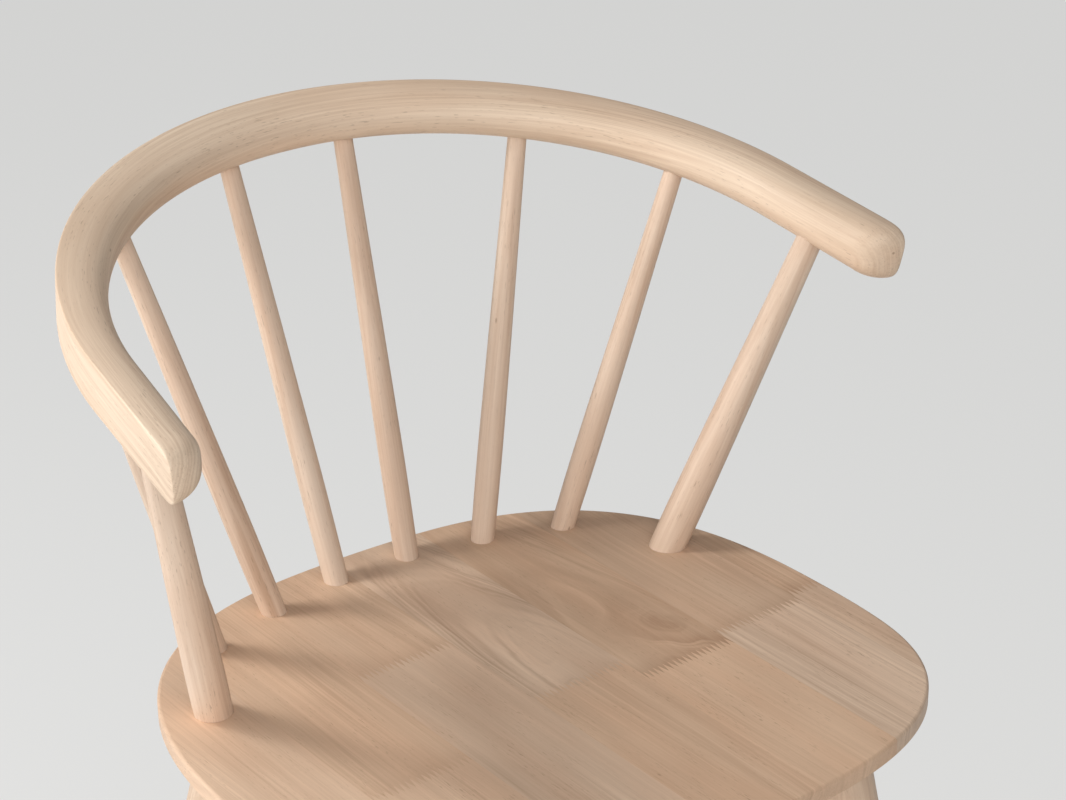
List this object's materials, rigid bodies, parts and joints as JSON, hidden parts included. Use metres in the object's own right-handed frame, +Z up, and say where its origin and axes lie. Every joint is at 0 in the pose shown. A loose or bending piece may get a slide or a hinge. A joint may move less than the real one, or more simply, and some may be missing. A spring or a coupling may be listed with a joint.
{
  "type": "windsor chair",
  "caption": "Low-backed wooden armchair: an oval board seat on splayed turned legs, with one curved arm rail held on leaning round spindles.",
  "frame": {"origin": "on the floor, under the middle of the chair's bounding box", "axes": "+Z up, -Y the way the sitter faces, X across the seat"},
  "size_m": [0.5906, 0.5588, 0.7864],
  "materials": {
    "seat_wood": "bare sanded hardwood boards, matte, grain from front to back",
    "bow_wood": "bare sanded pale hardwood, matte with a faint sheen, grain along the curve",
    "spindle_wood": "bare sanded pale hardwood, matte, streaked along its length",
    "leg_wood": "bare sanded pale hardwood, matte, grain along its length",
    "glide_plastic": "plain moulded plastic, matte"
  },
  "bodies": {
    "root": {"seat_board_1": "seat_wood", "seat_board_2_front": "seat_wood", "seat_board_2_rear": "seat_wood", "seat_board_3_front": "seat_wood", "seat_board_3_rear": "seat_wood", "seat_board_4_front": "seat_wood", "seat_board_4_rear": "seat_wood", "seat_board_5_front": "seat_wood", "seat_board_5_rear": "seat_wood", "seat_board_6_front": "seat_wood", "seat_board_6_rear": "seat_wood", "seat_board_7_front": "seat_wood", "seat_board_7_rear": "seat_wood", "arm_bow": "bow_wood", "spindle_left_1": "spindle_wood", "spindle_left_2": "spindle_wood", "spindle_left_3": "spindle_wood", "spindle_right_1": "spindle_wood", "spindle_right_2": "spindle_wood", "spindle_right_3": "spindle_wood", "arm_post_left": "spindle_wood", "arm_post_right": "spindle_wood", "leg_front_left": "leg_wood", "leg_front_right": "leg_wood", "leg_rear_left": "leg_wood", "leg_rear_right": "leg_wood", "side_stretcher_left": "leg_wood", "side_stretcher_right": "leg_wood", "cross_stretcher": "leg_wood", "glide_front_left": "glide_plastic", "glide_front_right": "glide_plastic", "glide_rear_left": "glide_plastic", "glide_rear_right": "glide_plastic"}
  },
  "joints": []
}
